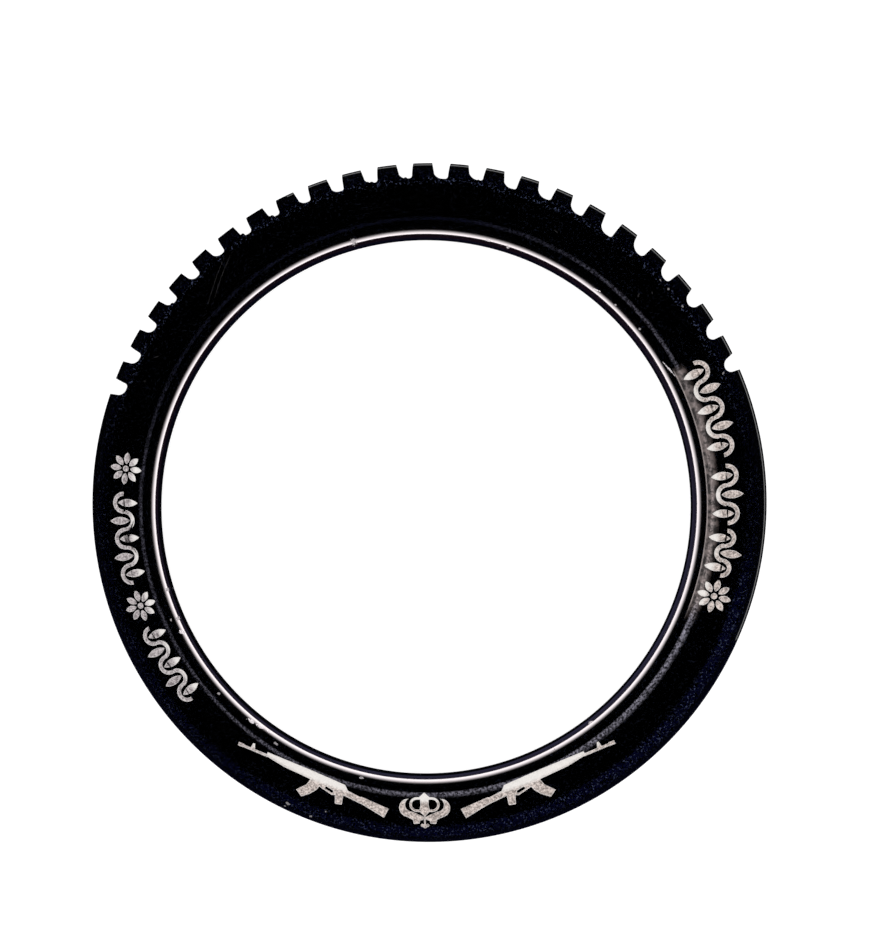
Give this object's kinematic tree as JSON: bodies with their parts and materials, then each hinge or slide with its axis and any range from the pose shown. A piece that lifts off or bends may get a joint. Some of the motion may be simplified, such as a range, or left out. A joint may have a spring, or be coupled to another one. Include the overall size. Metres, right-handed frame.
{
  "type": "kada bangle",
  "caption": "Closed round steel bangle with rounded edges, a row of notches along part of its rim and engraved marks on its flat face, worn on the wrist.",
  "frame": {"origin": "centre of the ring, on the flat face that it rests on", "axes": "+Z along the ring's axis towards the engraved face, +Y towards the notched arc of the rim"},
  "size_m": [0.0828, 0.0828, 0.005],
  "materials": {
    "ring": "glossy black coated steel, with the engraving cut through to matt grey steel"
  },
  "bodies": {
    "root": {"ring": "ring"}
  },
  "joints": []
}
